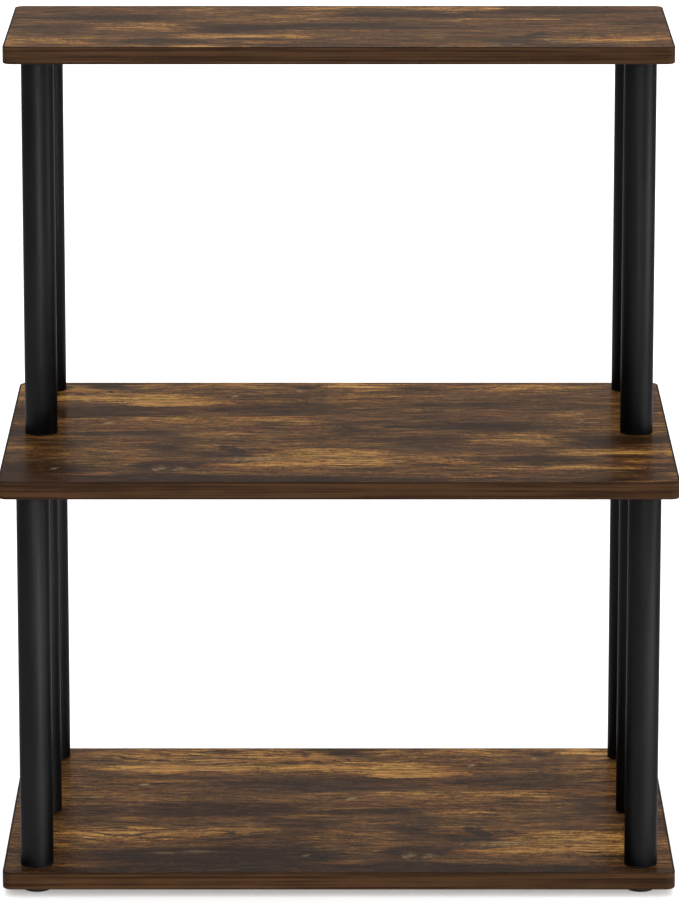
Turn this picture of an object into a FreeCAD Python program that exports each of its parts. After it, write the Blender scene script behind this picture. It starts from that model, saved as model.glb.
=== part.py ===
import FreeCAD, Part
import os
import Sketcher
from FreeCAD import Placement, Rotation, Vector

# Kitchen shelf
# Three wood-print boards stand on round black tubes that screw together through the boards.
# The two lower boards are alike. The top board is shallower, and all three line up at the back.
# Six tubes carry the middle board and four carry the top board, each over a tube below.
# Origin: centre of the footprint, on the floor. +X right, +Y back, +Z up. Millimetres.

# Driving dimensions
SIZES = {
    # Boards
    "board_width": 600.0,
    "board_depth": 396.0,
    "top_board_depth": 230.0,
    "board_thickness": 16.0,
    "board_corner_radius": 8.5,
    "band_thickness": 2.0,
    "band_edge_radius": 1.4,
    # Where the tubes stand
    "side_inset": 30.0,
    "front_inset": 28.0,
    "back_inset": 28.0,
    "top_front_inset": 26.0,
    # Tubes
    "tube_diameter": 29.4,
    "tube_wall": 1.5,
    "tube_end_chamfer": 0.3,
    "lower_tube_length": 339.0,
    "upper_tube_length": 339.0,
    # Screw joint between tube, board and tube
    "stud_diameter": 12.0,
    "stud_chamfer": 1.0,
    "stud_core_diameter": 6.0,
    "stud_end_wall": 3.0,
    "thread_clearance": 0.2,
    "thread_engagement": 12.0,
    "board_hole_clearance": 0.3,
    # Moulded plug in each tube end
    "rim_thickness": 1.6,
    "rim_chamfer": 0.3,
    "plug_length": 22.0,
    "plug_floor": 2.0,
    "plug_lead_in": 0.8,
    "sleeve_wall": 1.8,
    "sleeve_clearance": 0.4,
    "boss_wall": 2.4,
    "boss_height": 17.0,
    "socket_chamfer": 0.8,
    "web_count": 6,
    "web_thickness": 1.4,
    "web_height": 14.0,
    "grip_count": 8,
    "grip_angle": 9.0,
    "grip_clearance": 0.05,
    "grip_taper": 3.0,
    # Blind insert under a board
    "insert_length": 11.0,
    "insert_wall": 1.8,
    "insert_end_wall": 1.2,
    "insert_hole_depth": 11.4,
    "insert_clearance": 0.05,
    "insert_stud_length": 9.0,
    "barb_start": 1.2,
    "barb_pitch": 2.8,
    "barb_height": 0.5,
    # Feet
    "foot_height": 7.0,
    "foot_bottom_diameter": 25.0,
    "foot_collar_height": 2.0,
    "foot_edge_radius": 1.2,
    "foot_recess_diameter": 15.0,
    "foot_recess_depth": 1.5,
}
BARB_COUNT = 3

# Turns
FULL_TURN = 360.0
UPSIDE_DOWN = Rotation(Vector(1, 0, 0), FULL_TURN / 2)
QUARTER_TURN = Rotation(Vector(0, 0, 1), FULL_TURN / 4)

# Two places are the same when they differ by less than this share of the size at hand
SAME_SHARE = 1e-6

# Columns of tubes, seen from above
COLUMN_X = "(Sizes.board_width / 2 - Sizes.side_inset)"
SIDES = {"left": "-" + COLUMN_X, "right": COLUMN_X}
ROWS = {
    "front": "(Sizes.front_inset - Sizes.board_depth / 2)",
    "middle": "(Sizes.board_depth / 2 - Sizes.top_board_depth + Sizes.top_front_inset)",
    "back": "(Sizes.board_depth / 2 - Sizes.back_inset)",
}
FRONT_COLUMNS = [("front", side) for side in SIDES]
REAR_COLUMNS = [(row, side) for row in ("middle", "back") for side in SIDES]

# Heights above the floor of each board's underside
BOTTOM_Z = "Sizes.foot_height"
MIDDLE_Z = "(%s + Sizes.board_thickness + 2 * Sizes.rim_thickness + Sizes.lower_tube_length)" % BOTTOM_Z
TOP_Z = "(%s + Sizes.board_thickness + 2 * Sizes.rim_thickness + Sizes.upper_tube_length)" % MIDDLE_Z

# Radii that mating pieces share
TUBE_RADIUS = "Sizes.tube_diameter / 2"
BORE_RADIUS = "(Sizes.tube_diameter / 2 - Sizes.tube_wall)"
SLEEVE_RADIUS = "(%s - Sizes.sleeve_clearance)" % BORE_RADIUS
GRIP_RADIUS = "(%s - Sizes.grip_clearance)" % BORE_RADIUS
STUD_RADIUS = "Sizes.stud_diameter / 2"
CORE_RADIUS = "Sizes.stud_core_diameter / 2"
SOCKET_RADIUS = "(Sizes.stud_diameter / 2 + Sizes.thread_clearance)"
BOSS_RADIUS = "(%s + Sizes.boss_wall)" % SOCKET_RADIUS
STUD_HOLE_RADIUS = "(Sizes.stud_diameter / 2 + Sizes.board_hole_clearance)"
INSERT_RADIUS = "(%s + Sizes.insert_wall)" % SOCKET_RADIUS
BARB_RADIUS = "(%s + Sizes.barb_height)" % INSERT_RADIUS
INSERT_HOLE_RADIUS = "(%s + Sizes.insert_clearance)" % BARB_RADIUS
THROUGH_STUD_LENGTH = "(Sizes.board_thickness + Sizes.thread_engagement)"

doc = FreeCAD.newDocument("KitchenShelf")
parts = []


def fill_sheet():
    """Put the driving dimensions in the spreadsheet, one named cell each."""
    sheet = doc.addObject("Spreadsheet::Sheet", "Sizes")
    for row, (alias, value) in enumerate(SIZES.items(), start=1):
        sheet.set("A%d" % row, alias)
        sheet.set("B%d" % row, str(value))
        sheet.setAlias("B%d" % row, alias)
    doc.recompute()
    return sheet


sizes_sheet = fill_sheet()


def amount(formula):
    """The present value of a formula, for placing a sketch before it is solved."""
    return float(sizes_sheet.evalExpression(formula))


def new_body(label, places, upside_down=False):
    """A body for one piece. The places are formulas by axis, and an axis with none stays at zero."""
    body = doc.addObject("PartDesign::Body", label)
    body.Label = label
    if upside_down:
        body.Placement = Placement(Vector(), UPSIDE_DOWN)
    for axis, formula in places.items():
        body.setExpression("Placement.Base." + axis, formula)
    parts.append(body)
    return body


def new_sketch(body, name, role):
    """A sketch on one of the body's own origin planes."""
    sketch = body.newObject("Sketcher::SketchObject", body.Label + "_" + name)
    plane = [feature for feature in body.Origin.OriginFeatures if feature.Role == role][0]
    sketch.AttachmentSupport = [(plane, "")]
    sketch.MapMode = "FlatFace"
    return sketch


def dimension(sketch, kind, elements, formula, name):
    """Add one named sketch dimension and tie it to its formula."""
    index = sketch.addConstraint(Sketcher.Constraint(kind, *elements, amount(formula)))
    sketch.renameConstraint(index, name)
    sketch.setExpression("Constraints." + name, formula)


def locate(sketch, geometry, position, across, up, name):
    """Dimension one point of the sketch from its origin."""
    dimension(sketch, "DistanceX", (-1, 1, geometry, position), across, name + "_across")
    dimension(sketch, "DistanceY", (-1, 1, geometry, position), up, name + "_up")


def draw_outline(sketch, corners):
    """Draw a closed outline through corners, each a pair of formulas."""
    points = [Vector(amount(across), amount(up), 0) for across, up in corners]
    for start, end in zip(points, points[1:] + points[:1]):
        sketch.addGeometry(Part.LineSegment(start, end), False)
    for index, (across, up) in enumerate(corners):
        previous = (index - 1) % len(corners)
        sketch.addConstraint(Sketcher.Constraint("Coincident", previous, 2, index, 1))
        locate(sketch, index, 1, across, up, "corner_%d" % index)


def draw_rounded_rectangle(sketch, name, half_width, front, back, radius):
    """Draw a rectangle with rounded corners, centred on the sketch's vertical axis."""
    wide, near, far, round_off = [amount(formula) for formula in (half_width, front, back, radius)]
    first = sketch.GeometryCount
    # Each side runs anticlockwise, and each arc follows its side.
    sides = [
        (Vector(round_off - wide, near, 0), Vector(wide - round_off, near, 0)),
        (Vector(wide, near + round_off, 0), Vector(wide, far - round_off, 0)),
        (Vector(wide - round_off, far, 0), Vector(round_off - wide, far, 0)),
        (Vector(-wide, far - round_off, 0), Vector(-wide, near + round_off, 0)),
    ]
    for index, (start, end) in enumerate(sides):
        sketch.addGeometry(Part.LineSegment(start, end), False)
        following = sides[(index + 1) % len(sides)][0]
        centre = end + QUARTER_TURN.multVec(end - start).normalize() * round_off
        middle = centre + ((end + following) / 2 - centre).normalize() * round_off
        sketch.addGeometry(Part.Arc(end, middle, following), False)
    count = 2 * len(sides)
    for index in range(count):
        following = first + (index + 1) % count
        sketch.addConstraint(Sketcher.Constraint("Tangent", first + index, 2, following, 1))
    for index, direction in enumerate(("Horizontal", "Vertical", "Horizontal", "Vertical")):
        sketch.addConstraint(Sketcher.Constraint(direction, first + 2 * index))
    for index in range(3, count, 2):
        sketch.addConstraint(Sketcher.Constraint("Equal", first + 1, first + index))
    dimension(sketch, "Radius", (first + 1,), radius, name + "_radius")
    dimension(sketch, "DistanceY", (-1, 1, first, 1), front, name + "_front")
    dimension(sketch, "DistanceX", (-1, 1, first + 2, 1), half_width, name + "_right")
    dimension(sketch, "DistanceY", (-1, 1, first + 4, 1), back, name + "_back")
    dimension(sketch, "DistanceX", (-1, 1, first + 6, 1), "-" + half_width, name + "_left")


def draw_circles(sketch, centres, radius):
    """Draw equal circles at centres, each a pair of formulas."""
    for index, (across, up) in enumerate(centres):
        circle = Part.Circle(Vector(amount(across), amount(up), 0), Vector(0, 0, 1), amount(radius))
        sketch.addGeometry(circle, False)
        locate(sketch, index, 3, across, up, "centre_%d" % index)
        if index == 0:
            dimension(sketch, "Radius", (0,), radius, "radius")
        else:
            sketch.addConstraint(Sketcher.Constraint("Equal", 0, index))


def pad(body, sketch, name, length, midplane=False):
    """Raise a sketch into a solid."""
    feature = body.newObject("PartDesign::Pad", body.Label + "_" + name)
    feature.Profile = sketch
    feature.Midplane = midplane
    feature.setExpression("Length", length)
    return feature


def revolve(body, sketch, name):
    """Turn a sketch once round its upright axis."""
    feature = body.newObject("PartDesign::Revolution", body.Label + "_" + name)
    feature.Profile = sketch
    feature.ReferenceAxis = (sketch, ["V_Axis"])
    feature.Angle = FULL_TURN
    return feature


def repeat_round(body, sketch, feature, name, count):
    """Repeat a feature round the body's upright axis."""
    pattern = body.newObject("PartDesign::PolarPattern", body.Label + "_" + name)
    pattern.Originals = [feature]
    pattern.Axis = (sketch, ["V_Axis"])
    pattern.Angle = FULL_TURN
    pattern.setExpression("Occurrences", count)
    body.Tip = pattern
    return pattern


def is_round(edge):
    """Whether an edge is part of a circle."""
    return isinstance(edge.Curve, Part.Circle)


def is_level(edge):
    """Whether an edge keeps one height."""
    return edge.BoundBox.ZLength < edge.Length * SAME_SHARE


def on_box_side(point, box):
    """Whether a point lies on one of a box's four upright sides."""
    slack = box.DiagonalLength * SAME_SHARE
    gaps = (point.x - box.XMin, box.XMax - point.x, point.y - box.YMin, box.YMax - point.y)
    return min(gaps) < slack


def widest_rings(edges):
    """Of the round edges, those with the largest radius."""
    rings = [edge for edge in edges if is_round(edge)]
    widest = max(ring.Curve.Radius for ring in rings)
    return [ring for ring in rings if ring.Curve.Radius > widest * (1 - SAME_SHARE)]


def break_edges(body, feature, kind, name, edges, size_name, formula):
    """Fillet or chamfer some edges of a feature's shape."""
    every = enumerate(feature.Shape.Edges, start=1)
    chosen = ["Edge%d" % number for number, edge in every if any(edge.isSame(one) for one in edges)]
    finish = body.newObject("PartDesign::" + kind, body.Label + "_" + name)
    finish.Base = (feature, chosen)
    finish.setExpression(size_name, formula)


def column_centres(columns):
    """The centres of tube columns, as formulas."""
    return [(SIDES[side], ROWS[row]) for row, side in columns]


def board_front(depth):
    """The Y of a board's front edge. All boards share the back edge."""
    return "(Sizes.board_depth / 2 - %s)" % depth


def make_board(label, depth, underside, through_columns, blind_columns):
    """The core of one board: a laminated panel, bored for the studs and the inserts."""
    body = new_body(label, {"z": underside})
    outline = new_sketch(body, "outline", "XY_Plane")
    draw_rounded_rectangle(
        outline,
        "core",
        "(Sizes.board_width / 2 - Sizes.band_thickness)",
        "(%s + Sizes.band_thickness)" % board_front(depth),
        "(Sizes.board_depth / 2 - Sizes.band_thickness)",
        "(Sizes.board_corner_radius - Sizes.band_thickness)",
    )
    pad(body, outline, "panel", "Sizes.board_thickness")
    if through_columns:
        holes = new_sketch(body, "stud_hole_places", "XY_Plane")
        draw_circles(holes, column_centres(through_columns), STUD_HOLE_RADIUS)
        bore = body.newObject("PartDesign::Pocket", label + "_stud_holes")
        bore.Profile = holes
        bore.Type = "ThroughAll"
        bore.Reversed = True
    if blind_columns:
        holes = new_sketch(body, "insert_hole_places", "XY_Plane")
        draw_circles(holes, column_centres(blind_columns), INSERT_HOLE_RADIUS)
        bore = body.newObject("PartDesign::Pocket", label + "_insert_holes")
        bore.Profile = holes
        bore.Reversed = True
        bore.setExpression("Length", "Sizes.insert_hole_depth")


def make_edge_band(board, depth, underside):
    """The band glued round a board's edge, with its outer arrises rounded."""
    body = new_body(board + "_edge_band", {"z": underside})
    outline = new_sketch(body, "outline", "XY_Plane")
    draw_rounded_rectangle(
        outline,
        "outside",
        "(Sizes.board_width / 2)",
        board_front(depth),
        "(Sizes.board_depth / 2)",
        "Sizes.board_corner_radius",
    )
    draw_rounded_rectangle(
        outline,
        "inside",
        "(Sizes.board_width / 2 - Sizes.band_thickness)",
        "(%s + Sizes.band_thickness)" % board_front(depth),
        "(Sizes.board_depth / 2 - Sizes.band_thickness)",
        "(Sizes.board_corner_radius - Sizes.band_thickness)",
    )
    band = pad(body, outline, "strip", "Sizes.board_thickness")
    doc.recompute()
    box = band.Shape.BoundBox
    level = [edge for edge in band.Shape.Edges if is_level(edge)]
    arrises = [edge for edge in level if all(on_box_side(end.Point, box) for end in edge.Vertexes)]
    break_edges(body, band, "Fillet", "rounding", arrises, "Radius", "Sizes.band_edge_radius")


def make_tube(label, side, row, start, length):
    """One tube: open at both ends, with its outer end edges broken."""
    body = new_body(label, {"x": SIDES[side], "y": ROWS[row], "z": start})
    section = new_sketch(body, "section", "XY_Plane")
    centre = [("0", "0")]
    draw_circles(section, centre, TUBE_RADIUS)
    bore = sketch_circle(section, BORE_RADIUS, "bore_radius")
    section.addConstraint(Sketcher.Constraint("Coincident", 0, 3, bore, 3))
    wall = pad(body, section, "wall", length)
    doc.recompute()
    ends = widest_rings(wall.Shape.Edges)
    break_edges(body, wall, "Chamfer", "ends", ends, "Size", "Sizes.tube_end_chamfer")


def sketch_circle(sketch, radius, name):
    """Add a circle of its own radius and return its number."""
    index = sketch.addGeometry(Part.Circle(Vector(), Vector(0, 0, 1), amount(radius)), False)
    dimension(sketch, "Radius", (index,), radius, name)
    return index


def sleeve_outline():
    """The half outline of a plug from the board end of its rim to the top of its boss."""
    sleeve_inside = "(%s - Sizes.sleeve_wall)" % SLEEVE_RADIUS
    sleeve_end = "(Sizes.rim_thickness + Sizes.plug_length)"
    floor = "(Sizes.rim_thickness + Sizes.plug_floor)"
    return [
        ("%s - Sizes.rim_chamfer" % TUBE_RADIUS, "0"),
        (TUBE_RADIUS, "Sizes.rim_chamfer"),
        (TUBE_RADIUS, "Sizes.rim_thickness - Sizes.rim_chamfer"),
        ("%s - Sizes.rim_chamfer" % TUBE_RADIUS, "Sizes.rim_thickness"),
        (SLEEVE_RADIUS, "Sizes.rim_thickness"),
        (SLEEVE_RADIUS, "%s - Sizes.plug_lead_in" % sleeve_end),
        ("%s - Sizes.plug_lead_in" % SLEEVE_RADIUS, sleeve_end),
        (sleeve_inside, sleeve_end),
        (sleeve_inside, floor),
        (BOSS_RADIUS, floor),
        (BOSS_RADIUS, "Sizes.boss_height"),
    ]


def socket_outline():
    """The half outline of a plug with a threaded socket, open at both ends."""
    return sleeve_outline() + [
        (SOCKET_RADIUS, "Sizes.boss_height"),
        (SOCKET_RADIUS, "Sizes.socket_chamfer"),
        ("%s + Sizes.socket_chamfer" % SOCKET_RADIUS, "0"),
    ]


def stud_outline(length):
    """The half outline of a plug with a stud, cored from inside as a moulding is."""
    return sleeve_outline() + [
        (CORE_RADIUS, "Sizes.boss_height"),
        (CORE_RADIUS, "Sizes.stud_end_wall - %s" % length),
        ("0", "Sizes.stud_end_wall - %s" % length),
        ("0", "-" + length),
        ("%s - Sizes.stud_chamfer" % STUD_RADIUS, "-" + length),
        (STUD_RADIUS, "Sizes.stud_chamfer - %s" % length),
        (STUD_RADIUS, "0"),
    ]


def make_plug(label, outline, side, row, seat, upside_down):
    """A moulded plug: rim, sleeve, boss, webs between them, and ribs that grip the tube."""
    body = new_body(label, {"x": SIDES[side], "y": ROWS[row], "z": seat}, upside_down)
    turned = new_sketch(body, "profile", "XZ_Plane")
    draw_outline(turned, outline)
    revolve(body, turned, "turned")
    add_webs(body)
    add_grips(body)


def add_webs(body):
    """Flat webs that tie a plug's boss to its sleeve."""
    inner = "(%s - Sizes.boss_wall / 2)" % BOSS_RADIUS
    outer = "(%s - Sizes.sleeve_wall / 2)" % SLEEVE_RADIUS
    web_sketch = new_sketch(body, "web_outline", "XZ_Plane")
    corners = [
        (inner, "Sizes.rim_thickness"),
        (outer, "Sizes.rim_thickness"),
        (outer, "Sizes.web_height"),
        (inner, "Sizes.web_height"),
    ]
    draw_outline(web_sketch, corners)
    web = pad(body, web_sketch, "web", "Sizes.web_thickness", midplane=True)
    repeat_round(body, web_sketch, web, "webs", "Sizes.web_count")


def add_grips(body):
    """Ribs along a plug's sleeve that bear on the tube's bore, with tapered leading ends."""
    root = "(%s - Sizes.sleeve_wall / 2)" % SLEEVE_RADIUS
    leading_end = "(Sizes.rim_thickness + Sizes.plug_length - Sizes.plug_lead_in)"
    grip_sketch = new_sketch(body, "grip_outline", "XZ_Plane")
    corners = [
        (root, "Sizes.rim_thickness"),
        (GRIP_RADIUS, "Sizes.rim_thickness"),
        (GRIP_RADIUS, "%s - Sizes.grip_taper" % leading_end),
        (SLEEVE_RADIUS, leading_end),
        (root, leading_end),
    ]
    draw_outline(grip_sketch, corners)
    grip = revolve(body, grip_sketch, "grip")
    grip.Midplane = True
    grip.setExpression("Angle", "Sizes.grip_angle")
    repeat_round(body, grip_sketch, grip, "grips", "Sizes.grip_count")


def make_foot(label, side, row):
    """A tapered foot whose stud goes up through the bottom board into a tube's plug."""
    body = new_body(label, {"x": SIDES[side], "y": ROWS[row], "z": BOTTOM_Z})
    turned = new_sketch(body, "profile", "XZ_Plane")
    sole = "-Sizes.foot_height"
    recess_roof = "(Sizes.foot_recess_depth - Sizes.foot_height)"
    core_end = "(%s - Sizes.stud_end_wall)" % THROUGH_STUD_LENGTH
    corners = [
        ("0", core_end),
        (CORE_RADIUS, core_end),
        (CORE_RADIUS, recess_roof),
        ("Sizes.foot_recess_diameter / 2", recess_roof),
        ("Sizes.foot_recess_diameter / 2", sole),
        ("Sizes.foot_bottom_diameter / 2", sole),
        (TUBE_RADIUS, "-Sizes.foot_collar_height"),
        (TUBE_RADIUS, "0"),
        (STUD_RADIUS, "0"),
        (STUD_RADIUS, "%s - Sizes.stud_chamfer" % THROUGH_STUD_LENGTH),
        ("%s - Sizes.stud_chamfer" % STUD_RADIUS, THROUGH_STUD_LENGTH),
        ("0", THROUGH_STUD_LENGTH),
    ]
    draw_outline(turned, corners)
    foot = revolve(body, turned, "turned")
    doc.recompute()
    floor = foot.Shape.BoundBox.ZMin
    level = [edge for edge in foot.Shape.Edges if is_level(edge)]
    sole_edges = [edge for edge in level if edge.BoundBox.ZMax - floor < edge.Length * SAME_SHARE]
    rim = widest_rings(sole_edges)
    break_edges(body, foot, "Fillet", "rounding", rim, "Radius", "Sizes.foot_edge_radius")


def make_insert(label, side, row, underside):
    """A blind threaded insert, barbed so that it stays in its hole under a board."""
    body = new_body(label, {"x": SIDES[side], "y": ROWS[row], "z": underside})
    turned = new_sketch(body, "profile", "XZ_Plane")
    corners = [(SOCKET_RADIUS, "0"), (INSERT_RADIUS, "0")]
    for barb in range(BARB_COUNT):
        heel = "(Sizes.barb_start + %d * Sizes.barb_pitch)" % barb
        corners += [(INSERT_RADIUS, heel), (BARB_RADIUS, heel)]
    roof = "(Sizes.insert_length - Sizes.insert_end_wall)"
    corners += [
        (INSERT_RADIUS, "Sizes.barb_start + %d * Sizes.barb_pitch" % BARB_COUNT),
        (INSERT_RADIUS, "Sizes.insert_length"),
        ("0", "Sizes.insert_length"),
        ("0", roof),
        (SOCKET_RADIUS, roof),
    ]
    draw_outline(turned, corners)
    revolve(body, turned, "turned")


def add_boards():
    """The three boards and their bands."""
    deep = "Sizes.board_depth"
    shallow = "Sizes.top_board_depth"
    make_board("bottom_board", deep, BOTTOM_Z, FRONT_COLUMNS + REAR_COLUMNS, [])
    make_board("middle_board", deep, MIDDLE_Z, REAR_COLUMNS, FRONT_COLUMNS)
    make_board("top_board", shallow, TOP_Z, [], REAR_COLUMNS)
    make_edge_band("bottom_board", deep, BOTTOM_Z)
    make_edge_band("middle_board", deep, MIDDLE_Z)
    make_edge_band("top_board", shallow, TOP_Z)


def add_lower_columns():
    """Six lower tubes, their plugs and the feet beneath them."""
    seat = "(%s + Sizes.board_thickness)" % BOTTOM_Z
    for row, side in FRONT_COLUMNS + REAR_COLUMNS:
        name = "lower_%s_%s_tube" % (row, side)
        make_tube(name, side, row, "%s + Sizes.rim_thickness" % seat, "Sizes.lower_tube_length")
        make_plug(name + "_bottom_plug", socket_outline(), side, row, seat, False)
        ends_blind = (row, side) in FRONT_COLUMNS
        upper = stud_outline("Sizes.insert_stud_length") if ends_blind else socket_outline()
        make_plug(name + "_top_plug", upper, side, row, MIDDLE_Z, True)
        make_foot("%s_%s_foot" % (row, side), side, row)


def add_upper_columns():
    """Four upper tubes, whose lower studs go through the middle board into the tubes below."""
    seat = "(%s + Sizes.board_thickness)" % MIDDLE_Z
    for row, side in REAR_COLUMNS:
        name = "upper_%s_%s_tube" % (row, side)
        make_tube(name, side, row, "%s + Sizes.rim_thickness" % seat, "Sizes.upper_tube_length")
        make_plug(name + "_bottom_plug", stud_outline(THROUGH_STUD_LENGTH), side, row, seat, False)
        make_plug(name + "_top_plug", stud_outline("Sizes.insert_stud_length"), side, row, TOP_Z, True)


def add_inserts():
    """Blind inserts where a tube ends under a board and nothing stands above it."""
    for row, side in FRONT_COLUMNS:
        make_insert("middle_board_%s_%s_insert" % (row, side), side, row, MIDDLE_Z)
    for row, side in REAR_COLUMNS:
        make_insert("top_board_%s_%s_insert" % (row, side), side, row, TOP_Z)


def check_model():
    """Stop if an object failed or a piece is not one sound solid."""
    for item in doc.Objects:
        if "Invalid" in item.State or "Error" in item.State:
            raise RuntimeError("%s is in state %s" % (item.Name, item.State))
    for body in parts:
        shape = body.Shape
        if shape.isNull() or not shape.isValid() or len(shape.Solids) != 1:
            raise RuntimeError("%s is not one sound solid" % body.Label)


def write_parts():
    """Write each piece to its own file."""
    os.makedirs("parts", exist_ok=True)
    for body in parts:
        body.Shape.exportStep("parts/%s.step" % body.Label)
        print("%-38s %10.0f mm3" % (body.Label, body.Shape.Volume))


add_boards()
add_lower_columns()
add_upper_columns()
add_inserts()
doc.recompute()
check_model()
write_parts()
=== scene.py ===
import functools
import logging
import math
from collections.abc import Iterable
from dataclasses import dataclass, field
from enum import Enum

import bmesh
import bpy
from mathutils import Matrix, Vector


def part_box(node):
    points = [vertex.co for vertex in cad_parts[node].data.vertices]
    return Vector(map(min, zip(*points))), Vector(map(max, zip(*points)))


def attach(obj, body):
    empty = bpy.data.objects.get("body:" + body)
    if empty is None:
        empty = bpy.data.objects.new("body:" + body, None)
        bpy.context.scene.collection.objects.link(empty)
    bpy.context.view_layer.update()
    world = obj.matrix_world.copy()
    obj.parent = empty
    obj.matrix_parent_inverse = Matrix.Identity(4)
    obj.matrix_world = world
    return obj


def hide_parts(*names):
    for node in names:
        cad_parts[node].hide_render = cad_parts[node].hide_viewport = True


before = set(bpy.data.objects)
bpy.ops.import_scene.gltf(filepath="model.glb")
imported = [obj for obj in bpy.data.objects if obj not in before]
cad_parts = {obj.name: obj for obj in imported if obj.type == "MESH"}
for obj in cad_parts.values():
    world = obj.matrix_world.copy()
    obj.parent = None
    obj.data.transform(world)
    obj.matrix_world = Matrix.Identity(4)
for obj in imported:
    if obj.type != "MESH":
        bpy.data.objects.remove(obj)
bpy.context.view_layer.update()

BODY = "root"
MM = 0.001
PER_MM = 1000.0

# in metres: how close corners are one, and how close to a cut they lie on it
SAME_PLACE = 1e-6
ON_PLANE = 1e-7
SMOOTH_BELOW = math.radians(35)

# where most noise lies, and its middle
NOISE_SPAN = (0.3, 0.7)
NOISE_MIDDLE = 0.5

# the share of a print mark's reach that has its full strength
SOFT, EVEN, FIRM = 0.3, 0.45, 0.55

log = logging.getLogger("kitchen_shelf")

Socket = bpy.types.NodeSocket
Source = Socket | float | tuple[float, ...]
Triple = tuple[float, float, float]
Colour = Triple
Stops = tuple[tuple[float, Colour], ...]
Layer = tuple[Triple, float] | tuple[Triple, float, float]
Span = tuple[float, ...]


class Level(Enum):
    """The three boards, counted from the floor."""

    BOTTOM = "bottom"
    MIDDLE = "middle"
    TOP = "top"


class Slot(Enum):
    """The record's material slots."""

    BOARD = "laminate_board"
    BAND = "edge_band"
    TUBE = "black_tube"
    PLUG = "black_plug"
    FOOT = "black_foot"
    INSERT = "insert_plastic"


# Shader nodes


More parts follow.
